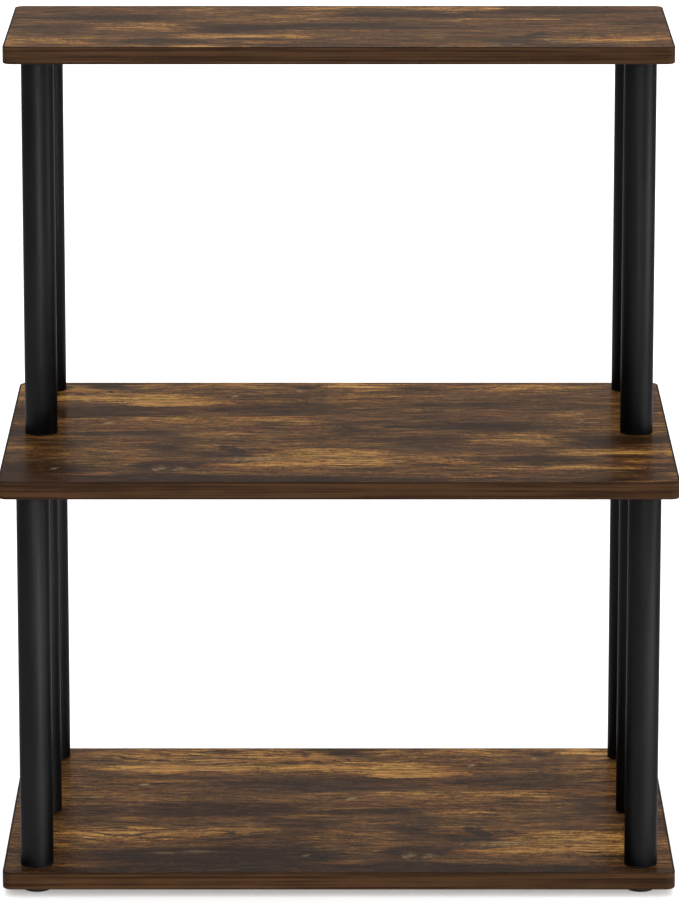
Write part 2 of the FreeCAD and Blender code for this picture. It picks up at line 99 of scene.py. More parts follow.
class NodeBench:
    """Adds the nodes of one tree and joins them."""

    ROWS = 8
    COLUMN_STEP = 200.0
    ROW_STEP = -180.0

    def __init__(self, tree: bpy.types.NodeTree) -> None:
        """Works on the node tree of a material, a group or the world."""
        self.tree = tree
        self.placed = 0

    def add(self, kind: str, **settings: object) -> bpy.types.Node:
        """Adds a node and sets it.

        Args:
            kind: the node's type name.
            settings: properties of the node by name.

        Returns:
            The new node.
        """
        node = self.tree.nodes.new(kind)
        column, row = divmod(self.placed, self.ROWS)
        node.location = (self.COLUMN_STEP * column, self.ROW_STEP * row)
        self.placed += 1
        for name, value in settings.items():
            setattr(node, name, value)
        return node

    def feed(self, socket: Socket, value: Source) -> None:
        """Joins a socket to another one, or sets its constant.

        Args:
            socket: the input to feed.
            value: an output socket, a number, or a tuple of numbers.
        """
        if isinstance(value, bpy.types.NodeSocket):
            self.tree.links.new(value, socket)
        else:
            socket.default_value = value

    def fill(self, node: bpy.types.Node, values: dict[str, Source]) -> None:
        """Feeds a node's inputs by their names."""
        for name, value in values.items():
            self.feed(node.inputs[name], value)

    def run(self, kind: str, *values: Source, **settings: object) -> Socket:
        """Adds a node and works it out.

        Args:
            kind: the node's type name.
            values: its inputs in order.
            settings: properties of the node by name.

        Returns:
            The node's first output.
        """
        node = self.add(kind, **settings)
        for socket, value in zip(node.inputs, values):
            self.feed(socket, value)
        return node.outputs[0]

    def calc(self, operation: str, *values: Source, clamp: bool = False) -> Socket:
        """Works out one step of arithmetic.

        Args:
            operation: the Math node's operation.
            values: its inputs in order.
            clamp: True to hold the result between 0 and 1.

        Returns:
            The result's socket.
        """
        return self.run("ShaderNodeMath", *values, operation=operation, use_clamp=clamp)

    def plus(self, first: Source, second: Source, clamp: bool = False) -> Socket:
        """Adds two numbers and gives the sum."""
        return self.calc("ADD", first, second, clamp=clamp)

    def times(self, first: Source, second: Source, clamp: bool = False) -> Socket:
        """Multiplies two numbers and gives the product."""
        return self.calc("MULTIPLY", first, second, clamp=clamp)

    def total(self, values: Iterable[Source]) -> Socket:
        """Adds up several numbers in order."""
        return functools.reduce(self.plus, values)

    def shift(self, vector: Source, step: Source) -> Socket:
        """Adds two vectors and gives the sum."""
        return self.run("ShaderNodeVectorMath", vector, step, operation="ADD")

    def stretch(self, vector: Source, factors: Source) -> Socket:
        """Multiplies two vectors part by part and gives the product."""
        return self.run("ShaderNodeVectorMath", vector, factors, operation="MULTIPLY")

    def push(self, vector: Source, way: Source, reach: Source) -> Socket:
        """Moves a point by a vector times a reach."""
        return self.shift(vector, self.stretch(way, reach))

    def noise(
        self, vector: Source, cell: Triple, detail: float, rough: float = 0.55, colour: bool = False
    ) -> Socket:
        """Makes noise whose features are longer one way than the other.

        Args:
            vector: where the noise is read.
            cell: a feature's size along each axis, in the vector's unit.
            detail: how many finer layers are added.
            rough: how strong the finer layers are.
            colour: True for three values instead of one.

        Returns:
            The noise, about 0.5 in the middle.
        """
        scaled = self.stretch(vector, tuple(1.0 / size for size in cell))
        node = self.add("ShaderNodeTexNoise", noise_dimensions="3D")
        self.fill(node, {"Vector": scaled, "Scale": 1.0, "Detail": detail, "Roughness": rough})
        return node.outputs["Color" if colour else "Fac"]

    def wobble(self, vector: Source, cell: Triple, detail: float) -> Socket:
        """Makes noise of three values round 0."""
        noise = self.noise(vector, cell, detail, colour=True)
        return self.shift(noise, (-NOISE_MIDDLE, -NOISE_MIDDLE, -NOISE_MIDDLE))

    def off_middle(self, noise: Source, weight: float) -> Socket:
        """Gives how far noise is off its middle, times a weight."""
        return self.times(self.calc("SUBTRACT", noise, NOISE_MIDDLE), weight)

    def between(
        self, value: Source, low: float, high: float, at_low: Source = 0.0, at_high: Source = 1.0
    ) -> Socket:
        """Maps a value smoothly from one range to another.

        Args:
            value: what is mapped.
            low: where the range starts.
            high: where it ends.
            at_low: the result at the start and before it.
            at_high: the result at the end and after it.

        Returns:
            The mapped value.
        """
        given = (value, low, high, at_low, at_high)
        return self.run("ShaderNodeMapRange", *given, interpolation_type="SMOOTHSTEP")

    def vary(self, noise: Source, middle: float, less: float, more: float) -> Socket:
        """Lets a number follow noise, from a little less to a little more than its middle."""
        return self.between(noise, *NOISE_SPAN, middle - less, middle + more)

    def ramp(self, value: Source, stops: Stops) -> Socket:
        """Turns a value into a colour.

        Args:
            value: where on the ramp.
            stops: places and their linear colours.

        Returns:
            The colour.
        """
        node = self.add("ShaderNodeValToRGB")
        self.feed(node.inputs[0], value)
        elements = node.color_ramp.elements
        while len(elements) < len(stops):
            elements.new(1.0)
        for element, (place, colour) in zip(elements, stops):
            element.position = place
            element.color = (*colour, 1.0)
        return node.outputs[0]

    def shade(self, noise: Source, colour: Colour, share: float, span: Span = NOISE_SPAN) -> Socket:
        """Dims a colour to a share of itself where noise is low."""
        dim = tuple(share * part for part in colour)
        return self.ramp(noise, ((span[0], dim), (span[1], colour)))

    def blend(self, share: Source, first: Source, second: Source, way: str = "MIX") -> Socket:
        """Mixes two colours.

        Args:
            share: how much of the second, from 0 to 1.
            first: the colour at 0.
            second: the colour at 1, or the one laid over the first.
            way: the blend type.

        Returns:
            The mixed colour.
        """
        node = self.add("ShaderNodeMix", data_type="RGBA", blend_type=way)
        self.feed(node.inputs[0], share)
        # of the node's sockets, inputs 6 and 7 and output 2 are the colours
        for socket, value in ((node.inputs[6], first), (node.inputs[7], second)):
            self.feed(socket, (*value, 1.0) if isinstance(value, tuple) else value)
        return node.outputs[2]

    def split(self, vector: Source) -> tuple[Socket, Socket, Socket]:
        """Splits a vector into its three parts."""
        first = self.run("ShaderNodeSeparateXYZ", vector)
        return tuple(first.node.outputs)

    def place(self) -> Socket:
        """Gives the point's place on the piece, in metres."""
        return self.add("ShaderNodeTexCoord").outputs["Object"]

    def bump(self, height: Source, depth: float, strength: float) -> Socket:
        """Turns a height into a normal.

        Args:
            height: the height from 0 to 1.
            depth: how far 1 stands out, in metres.
            strength: the share of the effect that is kept.

        Returns:
            The normal.
        """
        node = self.add("ShaderNodeBump")
        self.fill(node, {"Strength": strength, "Distance": depth, "Height": height})
        return node.outputs[0]


def new_material(name: str) -> tuple[bpy.types.Material, NodeBench, bpy.types.Node]:
    """Starts a material with only its shader.

    Args:
        name: the material's name.

    Returns:
        The material, the bench that works on it, and its shader node.
    """
    material = bpy.data.materials.new(name)
    material.use_nodes = True
    tree = material.node_tree
    tree.nodes.clear()
    bench = NodeBench(tree)
    shader = bench.add("ShaderNodeBsdfPrincipled")
    output = bench.add("ShaderNodeOutputMaterial")
    tree.links.new(shader.outputs[0], output.inputs[0])
    return material, bench, shader


# Finishes


@dataclass(frozen=True)
class PrintMark:
    """A soft patch of the wood print, in mm from the back left corner of the sheet."""

    along: float
    across: float
    half_length: float
    half_width: float
    strength: float
    turn: float = 0.0
    core: float = SOFT


Marks = tuple[PrintMark, ...]


def soft_marks(core: float, *rows: tuple[float, ...]) -> Marks:
    """Makes marks that share one core from rows of the other fields, in their order."""
    return tuple(PrintMark(*row, core=core) for row in rows)


GOLDEN_MARKS = soft_marks(
    SOFT,
    (135, 68, 100, 22, 0.58), (240, 66, 80, 18, 0.50), (330, 66, 95, 24, 0.58),
    (368, 88, 62, 22, 0.50), (190, 28, 190, 34, 0.45), (395, 22, 90, 24, 0.30),
    (515, 18, 50, 16, 0.35), (520, 75, 40, 10, 0.25), (410, 160, 150, 28, 0.24),
    (85, 160, 60, 26, 0.10), (115, 280, 120, 30, 0.32), (75, 283, 50, 12, 0.25),
    (175, 272, 80, 16, 0.20), (215, 265, 60, 20, 0.12), (510, 304, 100, 46, 0.60),
    (455, 328, 65, 12, 0.30), (325, 270, 40, 22, 0.12), (410, 218, 70, 14, 0.15),
    (330, 335, 30, 14, 0.18), (160, 335, 50, 10, 0.15), (547, 16, 38, 18, 0.60),
    (700, 22, 110, 20, 0.25), (545, 52, 30, 22, 0.18), (690, 232, 62, 26, 0.36),
    (780, 284, 60, 12, 0.50), (622, 312, 44, 26, 0.28), (720, 341, 120, 9, 0.45),
    (802, 285, 100, 18, 0.36), (800, 175, 36, 18, 0.22), (845, 131, 28, 13, 0.45),
    (985, 129, 56, 16, 0.60), (905, 124, 60, 9, 0.30), (1105, 300, 75, 28, 0.42),
    (1012, 186, 60, 8, 0.28), (1080, 240, 60, 14, 0.12),
)
DARK_MARKS = soft_marks(
    FIRM,
    (285, 122, 120, 30, -0.28), (120, 100, 70, 10, -0.11), (470, 108, 90, 30, -0.22),
    (460, 62, 50, 14, -0.18), (185, 205, 105, 34, -0.31), (320, 212, 55, 12, -0.26),
    (60, 205, 40, 20, -0.18), (180, 345, 160, 34, -0.42), (300, 390, 380, 26, -0.42),
    (370, 340, 40, 24, -0.26), (300, 10, 45, 14, -0.26), (378, 262, 26, 45, -0.21),
    (100, 122, 55, 7, -0.22), (545, 200, 30, 36, -0.16), (265, 245, 60, 20, -0.15),
    (658, 184, 84, 22, -0.33), (760, 240, 58, 32, -0.28), (705, 310, 56, 15, -0.28),
    (690, 103, 120, 22, -0.21), (535, 195, 12, 26, -0.22), (600, 245, 40, 34, -0.16),
    (592, 300, 14, 30, -0.18), (740, 376, 120, 20, -0.22), (790, 298, 40, 7, -0.30),
    (910, 165, 75, 16, -0.30), (850, 232, 140, 24, -0.24), (1065, 150, 110, 16, -0.21),
    (1015, 320, 26, 26, -0.21), (850, 332, 110, 12, -0.18), (1150, 195, 34, 22, -0.15),
    (1010, 230, 230, 170, -0.06),
) + soft_marks(
    EVEN,
    (262, 350, 50, 26, -0.28), (256, 300, 24, 60, -0.16), (22, 345, 40, 40, -0.20),
    (302, 24, 30, 12, -0.45), (497, 22, 20, 10, -0.40), (342, 100, 24, 5, -0.35),
    (175, 102, 38, 4, -0.30), (625, 165, 90, 34, -0.12), (800, 356, 42, 13, -0.28),
)


@dataclass(frozen=True)
class RusticPrint:
    """The printed sheet that covers the boards: weathered oak with golden and dark patches."""

    tones: Stops = (
        (0.00, (0.0170, 0.0072, 0.0028)),
        (0.18, (0.0410, 0.0185, 0.0075)),
        (0.42, (0.1190, 0.0535, 0.0170)),
        (0.72, (0.2850, 0.1310, 0.0300)),
        (1.00, (0.4800, 0.2550, 0.0680)),
    )
    marks: Marks = GOLDEN_MARKS + DARK_MARKS
    knots: Marks = (
        *soft_marks(0.6, (426, 272, 11, 20, 1.0), (1042, 276, 8, 16, 0.9)),
        *soft_marks(
            0.5,
            (419, 296, 30, 9, 1.0), (1036, 292, 22, 7, 0.9), (268, 22, 4, 15, 0.75),
            (348, 338, 16, 10, 0.8), (398, 333, 8, 16, 0.8),
        ),
        *soft_marks(0.4, (140, 42, 12, 6, 0.8), (318, 28, 11, 7, 0.6)),
    )
    swirls: Marks = (
        *soft_marks(0.6, (190, 34, 175, 36, 1.2)),
        *soft_marks(
            0.5,
            (420, 26, 100, 28, 1.0), (140, 280, 130, 34, 1.0), (450, 312, 70, 16, 0.9),
            (790, 290, 110, 24, 0.8), (960, 134, 130, 18, 0.6),
        ),
    )
    tufts: Marks = soft_marks(
        0.5,
        (432, 309, 36, 12, 1.2), (366, 350, 9, 12, 1.2), (389, 350, 9, 13, 1.2),
        (1004, 328, 26, 14, 0.9), (1050, 302, 22, 9, 0.9),
    )
    specks: Marks = (
        *soft_marks(
            SOFT,
            (120, 123, 6, 5, 0.8), (310, 167, 5, 5, 0.8), (425, 57, 4, 5, 0.8),
            (491, 36, 4, 8, 0.5, 30), (270, 345, 5, 5, 0.5), (745, 131, 5, 4, 0.5),
            (834, 161, 5, 5, 0.5), (961, 196, 4, 7, 0.5),
        ),
        *soft_marks(
            0.2,
            (172, 332, 22, 8, 0.35), (142, 334, 10, 8, 0.25), (742, 158, 26, 3, 0.3, -62),
        ),
    )
    # colours laid over the tones
    pale: Colour = (0.42, 0.30, 0.155)
    fleck: Colour = (0.235, 0.150, 0.078)
    dark: Colour = (0.020, 0.0115, 0.0070)
    # tints: the colour, how far its noise is moved, the noise, and where it sets in and is full
    casts: tuple[tuple[Colour, Triple, Layer, Span], ...] = (
        ((1.08, 0.94, 0.88), (0, 0, 0), ((120, 26, 9), 2), (0.52, 0.66)),
        ((0.88, 0.96, 0.80), (731, 257, 0), ((70, 30, 9), 2), (0.54, 0.68)),
    )
    # noise: a feature's size in mm, the detail, and the roughness where it isn't the usual one
    sway: Layer = ((150, 55, 9), 2)
    ripple: Layer = ((40, 10, 9), 2)
    fray: Layer = ((60, 2.6, 9), 2)
    broad: Layer = ((130, 20, 9), 3, 0.6)
    middle: Layer = ((48, 5.5, 9), 4, 0.62)
    fine: Layer = ((30, 1.7, 9), 4, 0.66)
    mottle: Layer = ((9, 5.0, 9), 3, 0.65)
    grit: Layer = ((2.6, 4.8, 9), 1, 0.6)
    veins: Layer = ((120, 2.2, 9), 2.5, 0.5)
    curl: Layer = ((120, 30, 9), 1)
    fibres: Layer = ((4.0, 3.6, 9), 3, 0.7)
    flecks: Layer = ((15, 1.3, 9), 3, 0.6)
    pores: Layer = ((9, 0.55, 9), 2, 0.5)
    # how far the noise moves the pattern along, across and down, in mm
    sway_reach: Triple = (60, 26, 0)
    ripple_reach: Triple = (20, 7, 0)
    fray_reach: Triple = (110, 14, 0)
    fibre_reach: Triple = (60, 60, 0)
    # how much each thing counts; the detail is made of middle, fine, mottle and grit
    middle_tone: float = 0.34
    mark_weight: float = 0.75
    broad_weight: float = 0.6
    detail_weights: Span = (1.5, 2.1, 0.9, 0.7)
    rings_per_mm: float = 0.115
    curl_weight: float = 6.5
    ring_fold: float = 0.5
    ring_depth: float = 0.9
    speck_depth: float = 0.55
    pore_depth: float = 0.5
    vein_sink: float = 0.5
    pore_sink: float = 0.45
    # the darkest tone of the field, and how softly it is reached
    floor_tone: float = 0.07
    floor_blend: float = 0.2
    # ranges: where each starts and ends, and the results there
    swing: Span = (0.18, 0.66, 0.42, 1.40)
    calm: Span = (0.0, 1.0, 1.0, 0.82)
    vein_span: Span = (0.37, 0.46, 1.0, 0.0)
    vein_depth: Span = (0.25, 0.75, 0.30, 0.80)
    ring_span: Span = (0.05, 0.19, 1.0, 0.0)
    ring_wear: Span = (0.32, 0.50, 0.7, 1.0)
    knot_wear: Span = (0.3, 0.6, 0.5, 1.0)
    fibre_span: Span = (0.50, 0.62)
    fleck_span: Span = (0.57, 0.68, 0.0)
    fleck_depth: Span = (0.05, 0.40, 0.12, 0.34)
    pore_span: Span = (0.60, 0.68)
    # how deep a mark reaches below the face, and half the boards' width, in mm
    sheet_depth: float = 4.0
    half_board: float = 300.0

    def _patch(self, bench: NodeBench, sheet: Socket, mark: PrintMark) -> Socket:
        """Gives one mark's strength at a point of the sheet.

        Args:
            bench: where the nodes are made.
            sheet: the point, in mm.
            mark: the mark.

        Returns:
            The mark's strength inside its core, falling to 0 at its rim.
        """
        if mark.turn:
            turned = bench.add("ShaderNodeVectorRotate", rotation_type="Z_AXIS")
            centre, angle = (mark.along, mark.across, 0.0), math.radians(-mark.turn)
            bench.fill(turned, {"Vector": sheet, "Center": centre, "Angle": angle})
            sheet = turned.outputs[0]
        length, width = mark.half_length, mark.half_width
        shares = (1.0 / length, 1.0 / width, 1.0 / self.sheet_depth)
        start = (-mark.along / length, -mark.across / width, 0.0)
        local = bench.run("ShaderNodeVectorMath", sheet, shares, start, operation="MULTIPLY_ADD")
        reach = bench.add("ShaderNodeVectorMath", operation="LENGTH")
        bench.feed(reach.inputs[0], local)
        return bench.between(reach.outputs["Value"], mark.core, 1.0, mark.strength, 0.0)

    def _patches(self, bench: NodeBench, sheet: Socket, marks: Marks) -> Socket:
        """Adds up the strengths of several marks at a point."""
        return bench.total(self._patch(bench, sheet, mark) for mark in marks)

    def group(self) -> bpy.types.NodeTree:
        """Makes the print as a node group, once.

        Returns:
            The group. It takes a point of the sheet in mm and gives colour and height.
        """
        known = bpy.data.node_groups.get("rustic_print")
        if known:
            return known
        tree = bpy.data.node_groups.new("rustic_print", "ShaderNodeTree")
        sockets = tree.interface
        sockets.new_socket("Sheet", in_out="INPUT", socket_type="NodeSocketVector")
        sockets.new_socket("Colour", in_out="OUTPUT", socket_type="NodeSocketColor")
        sockets.new_socket("Height", in_out="OUTPUT", socket_type="NodeSocketFloat")
        bench = NodeBench(tree)
        sheet = bench.add("NodeGroupInput").outputs[0]
        output = bench.add("NodeGroupOutput")

        swayed = bench.push(sheet, bench.wobble(sheet, *self.sway), self.sway_reach)
        ripple = bench.wobble(swayed, *self.ripple)
        bent = bench.push(swayed, ripple, self.ripple_reach)
        frayed = bench.push(bent, bench.wobble(bent, *self.fray), self.fray_reach)

        middle = bench.noise(bent, *self.middle)
        mottle = bench.noise(bent, *self.mottle)
        layers = (middle, bench.noise(bent, *self.fine), mottle, bench.noise(bent, *self.grit))
        detail = bench.total(map(bench.off_middle, layers, self.detail_weights))
        zone = bench.calc("MAXIMUM", self._patches(bench, bent, self.swirls), 0.0, clamp=True)
        marks = self._patches(bench, frayed, self.marks)
        base = bench.plus(bench.times(marks, self.mark_weight), self.middle_tone)
        base = bench.plus(base, bench.off_middle(bench.noise(bent, *self.broad), self.broad_weight))
        base = bench.calc("SMOOTH_MAX", base, self.floor_tone, self.floor_blend)
        swing = bench.times(bench.between(base, *self.swing), bench.between(zone, *self.calm))
        tone = bench.plus(base, bench.times(detail, swing))
        colour = bench.ramp(tone, self.tones)

        for tint, step, layer, span in self.casts:
            share = bench.between(bench.noise(bench.shift(sheet, step), *layer), *span)
            colour = bench.blend(share, colour, tint, "MULTIPLY")

        vein = bench.between(bench.noise(bent, *self.veins), *self.vein_span)
        colour = bench.blend(
            bench.times(vein, bench.between(tone, *self.vein_depth)), colour, self.dark
        )

        _, across, _ = bench.split(swayed)
        curl = bench.times(bench.noise(swayed, *self.curl), self.curl_weight)
        rings = bench.plus(bench.times(across, self.rings_per_mm), curl)
        rings = bench.between(bench.calc("PINGPONG", rings, self.ring_fold), *self.ring_span)
        shown = bench.times(zone, bench.between(middle, *self.ring_wear))
        rings = bench.times(bench.times(rings, shown), self.ring_depth)
        colour = bench.blend(rings, colour, self.dark)

        knots = self._patches(bench, bent, self.knots)
        knots = bench.times(knots, bench.between(mottle, *self.knot_wear), clamp=True)
        colour = bench.blend(knots, colour, self.dark)

        fibres = bench.noise(bench.push(sheet, ripple, self.fibre_reach), *self.fibres)
        fibres = bench.between(fibres, *self.fibre_span)
        tufts = bench.times(self._patches(bench, bent, self.tufts), fibres, clamp=True)
        specks = bench.plus(tufts, self._patches(bench, bent, self.specks), clamp=True)
        colour = bench.blend(bench.times(specks, self.speck_depth), colour, self.pale)

        depth = bench.between(tone, *self.fleck_depth)
        flecks = bench.between(bench.noise(bent, *self.flecks), *self.fleck_span, depth)
        colour = bench.blend(flecks, colour, self.fleck)

        pores = bench.between(bench.noise(sheet, *self.pores), *self.pore_span)
        colour = bench.blend(bench.times(pores, self.pore_depth), colour, self.dark)

        height = bench.calc("SUBTRACT", 1.0, bench.times(vein, self.vein_sink))
        height = bench.calc("SUBTRACT", height, bench.times(pores, self.pore_sink))
        bench.fill(output, {"Colour": colour, "Height": height})
        return tree

    def lay(
        self, bench: NodeBench, shift: tuple[float, float], back: float, top: float
    ) -> tuple[Socket, Socket]:
        """Lays the sheet on a board.

        Args:
            bench: where the nodes are made.
            shift: the sheet point over the board's back left corner, in mm.
            back: the board's back edge on Y, in metres.
            top: the board's upper face on Z, in metres.

        Returns:
            The colour and the height.
        """
        along, across = self.half_board + shift[0], back * PER_MM + shift[1]
        place = bench.add("ShaderNodeMapping", vector_type="POINT")
        bench.fill(place, {
            "Vector": bench.place(),
            "Scale": (PER_MM, -PER_MM, -PER_MM),
            "Location": (along, across, top * PER_MM),
        })
        sheet = bench.add("ShaderNodeGroup")
        sheet.node_tree = self.group()
        bench.feed(sheet.inputs[0], place.outputs[0])
        return sheet.outputs["Colour"], sheet.outputs["Height"]


@dataclass(frozen=True)
class BoardFinish:
    """The board's faces: the print under a satin film, and bare chipboard where it ends."""

    sheet: RusticPrint = RusticPrint()
    chip: Colour = (0.30, 0.20, 0.11)
    chip_layer: Layer = ((0.0022, 0.0022, 0.0008), 3)
    chip_shade: float = 0.35
    # faces that look up or down hold the print: the upright share of their normal, none to all
    face_span: Span = (0.4, 0.6)
    roughness: float = 0.22
    smoother: float = 0.05
    rougher: float = 0.07
    wear: Layer = ((0.14, 0.05, 0.05), 3)
    gloss: float = 0.04
    relief: float = 0.00006
    relief_share: float = 0.5

    def material(
        self, name: str, shift: tuple[float, float], back: float, top: float
    ) -> bpy.types.Material:
        """Makes one board's material.

        Args:
            name: the material's name.
            shift: the sheet point over the board's back left corner, in mm.
            back: the board's back edge on Y, in metres.
            top: the board's upper face on Z, in metres.

        Returns:
            The material.
        """
        material, bench, shader = new_material(name)
        colour, height = self.sheet.lay(bench, shift, back, top)
        facing = bench.add("ShaderNodeNewGeometry")
        _, _, up = bench.split(facing.outputs["Normal"])
        face = bench.between(bench.calc("ABSOLUTE", up), *self.face_span)
        chips = bench.noise(bench.place(), *self.chip_layer)
        chips = bench.shade(chips, self.chip, self.chip_shade)
        worn = bench.noise(bench.place(), *self.wear)
        bench.fill(shader, {
            "Base Color": bench.blend(face, chips, colour),
            "Roughness": bench.vary(worn, self.roughness, self.smoother, self.rougher),
            "Specular IOR Level": self.gloss,
            "Normal": bench.bump(height, self.relief, self.relief_share),
        })
        return material


@dataclass(frozen=True)
class BandFinish:
    """The edge band: fine level lines of wood, meeting the print at the upper arris, with painted
    shade along its lower face and upper arris.
    """

    light: Colour = (0.0450, 0.0212, 0.0086)
    dark: Colour = (0.0170, 0.0074, 0.0031)
    # the colour of the painted shade at the band's rims
    rim: Colour = (0.010, 0.005, 0.003)
    # the level lines, slower clouds in them, and where the sum of both is dark and light
    lines: Layer = ((0.30, 1.0, 0.0022), 2, 0.6)
    line_weight: float = 0.8
    clouds: Layer = ((0.05, 1.0, 0.006), 2)
    cloud_weight: float = 0.2
    dark_place: float = 0.42
    light_place: float = 0.56
    # painted shade: the dark rims, as distances from the band's lower face, its ends and its upper
    # face
    lower_shade_reach: float = 2.4 * MM
    lower_shade_depth: float = 0.6
    end_rim: Span = (2.1 * MM, 1.8 * MM)
    arris: Span = (1.6 * MM, 0.7 * MM)
    arris_shade_depth: float = 0.65
    # the upper face of the band, which holds the print
    print_rim: Span = (0.25 * MM, 0.08 * MM)
    roughness: float = 0.5
    rough_swing: float = 0.06
    wear: Layer = ((0.03, 1.0, 0.004), 3)
    gloss: float = 0.03
    relief: float = 0.00008
    relief_share: float = 0.4

    def material(
        self, name: str, low: Vector, high: Vector, shift: tuple[float, float], sheet: RusticPrint
    ) -> bpy.types.Material:
        """Makes one band's material.

        Args:
            name: the material's name.
            low: the band's lowest corner.
            high: its highest corner.
            shift: the sheet point over the board's back left corner, in mm.
            sheet: the print that meets the band.

        Returns:
            The material.
        """
        material, bench, shader = new_material(name)
        printed, _ = sheet.lay(bench, shift, high.y, high.z)
        along, across, up = bench.split(bench.place())
        run = bench.run("ShaderNodeCombineXYZ", bench.plus(along, across), 0.0, up)
        lines = bench.noise(run, *self.lines)
        clouds = bench.times(bench.noise(run, *self.clouds), self.cloud_weight)
        tone = bench.plus(bench.times(lines, self.line_weight), clouds)
        colour = bench.ramp(tone, ((self.dark_place, self.dark), (self.light_place, self.light)))
        # painted shade: the band darkens towards its lower face
        lower = bench.between(up, low.z, low.z + self.lower_shade_reach, 1.0, 0.0)
        colour = bench.blend(bench.times(lower, self.lower_shade_depth), colour, self.rim)
        # painted shade along the upper arris: full near the band's ends, weaker along the front
        side = bench.calc("ABSOLUTE", along)
        side = bench.between(side, *(high.x - inset for inset in self.end_rim))
        depth = bench.between(side, 0.0, 1.0, self.arris_shade_depth, 1.0)
        arris = bench.between(up, *(high.z - inset for inset in self.arris), 0.0, depth)
        colour = bench.blend(arris, colour, self.rim)
        upper = bench.between(up, *(high.z - inset for inset in self.print_rim))
        upper = bench.times(upper, bench.calc("SUBTRACT", 1.0, side))
        worn = bench.noise(run, *self.wear)
        bench.fill(shader, {
            "Base Color": bench.blend(upper, colour, printed),
            "Roughness": bench.vary(worn, self.roughness, self.rough_swing, self.rough_swing),
            "Specular IOR Level": self.gloss,
            "Normal": bench.bump(lines, self.relief, self.relief_share),
        })
        return material


@dataclass(frozen=True)
class SatinBlack:
    """The tubes' black film over steel: satin, with a fine orange peel."""

    colour: Colour = (0.0128, 0.0128, 0.0133)
    rim: Colour = (0.55, 0.55, 0.57)
    peel: Layer = ((0.0011, 0.0011, 0.0016), 2)
    clouds: Layer = ((0.02, 0.02, 0.07), 3)
    cloud_shade: float = 0.8
    cloud_span: Span = (0.35, 0.65)
    roughness: float = 0.46
    smoother: float = 0.03
    rougher: float = 0.04
    relief: float = 0.00004
    relief_share: float = 0.25

    def material(self, name: str) -> bpy.types.Material:
        """Makes the material.

        Args:
            name: the material's name.

        Returns:
            The material.
        """
        material, bench, shader = new_material(name)
        place = bench.place()
        peel = bench.noise(place, *self.peel)
        clouds = bench.noise(place, *self.clouds)
        bench.fill(shader, {
            "Base Color": bench.shade(clouds, self.colour, self.cloud_shade, self.cloud_span),
            "Roughness": bench.vary(clouds, self.roughness, self.smoother, self.rougher),
            "Metallic": 1.0,
            "Specular Tint": (*self.rim, 1.0),
            "Normal": bench.bump(peel, self.relief, self.relief_share),
        })
        return material


@dataclass(frozen=True)
class MouldedPlastic:
    """Moulded plastic with a fine spark-eroded grain."""

    colour: Colour
    roughness: float
    gloss: float = 0.12
    grain: Layer = ((0.0005, 0.0005, 0.0005), 2)
    flow: Layer = ((0.012, 0.012, 0.006), 3)
    flow_shade: float = 0.72
    rough_swing: float = 0.08
    relief: float = 0.00003
    relief_share: float = 0.5

    def material(self, name: str) -> bpy.types.Material:
        """Makes the material.

        Args:
            name: the material's name.

        Returns:
            The material.
        """
        material, bench, shader = new_material(name)
        place = bench.place()
        grain = bench.noise(place, *self.grain)
        flow = bench.noise(place, *self.flow)
        bench.fill(shader, {
            "Base Color": bench.shade(flow, self.colour, self.flow_shade),
            "Roughness": bench.vary(grain, self.roughness, self.rough_swing, self.rough_swing),
            "Specular IOR Level": self.gloss,
            "Normal": bench.bump(grain, self.relief, self.relief_share),
        })
        return material


# Meshes


def new_object(name: str, data: bpy.types.ID) -> bpy.types.Object:
    """Adds an object to the scene.

    Args:
        name: the object's name.
        data: its mesh, light or camera.

    Returns:
        The object.
    """
    thing = bpy.data.objects.new(name, data)
    bpy.context.scene.collection.objects.link(thing)
    return thing


def close_mesh(shape: bmesh.types.BMesh, name: str) -> bpy.types.Object:
    """Turns a finished shape into an object at the origin.

    Args:
        shape: the shape, in its place in the shelf's frame.
        name: the object's name.

    Returns:
        The object.
    """
    bmesh.ops.remove_doubles(shape, verts=shape.verts, dist=SAME_PLACE)
    bmesh.ops.recalc_face_normals(shape, faces=shape.faces)
    for face in shape.faces:
        face.smooth = True
    for edge in shape.edges:
        edge.smooth = len(edge.link_faces) == 2 and edge.calc_face_angle(0.0) < SMOOTH_BELOW
    mesh = bpy.data.meshes.new(name)
    shape.to_mesh(mesh)
    shape.free()
    return new_object(name, mesh)


def turned_ring(
    profile: Iterable[tuple[float, float]], steps: int, closed: bool = True
) -> bmesh.types.BMesh:
    """Turns a profile round the Z axis.

    Args:
        profile: radius and height of each corner, in order.
        steps: how many facets go round.
        closed: True where the last corner joins the first.

    Returns:
        The turned shape.
    """
    shape = bmesh.new()
    corners = [shape.verts.new((radius, 0.0, height)) for radius, height in profile]
    following = corners[1:] + corners[:1] if closed else corners[1:]
    edges = [shape.edges.new(pair) for pair in zip(corners, following)]
    bmesh.ops.spin(
        shape, geom=corners + edges, cent=(0, 0, 0), axis=(0, 0, 1), angle=math.tau,
        steps=steps, use_merge=True, use_duplicate=False,
    )
    return shape


def join(shape: bmesh.types.BMesh, other: bmesh.types.BMesh) -> None:
    """Adds one shape to another and frees it.

    Args:
        shape: the shape that grows.
        other: the shape that is added.
    """
    mesh = bpy.data.meshes.new("joined")
    other.to_mesh(mesh)
    other.free()
    shape.from_mesh(mesh)
    bpy.data.meshes.remove(mesh)


def copy_solid(node: str) -> bmesh.types.BMesh:
    """Copies a solid of the frame as a shape that can be worked on.

    Args:
        node: the solid's name.

    Returns:
        The copy, in its place. The solid itself is left as it is.
    """
    shape = bmesh.new()
    shape.from_mesh(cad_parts[node].data)
    bmesh.ops.remove_doubles(shape, verts=shape.verts, dist=SAME_PLACE)
    for face in shape.faces:
        face.material_index = 0
    return shape


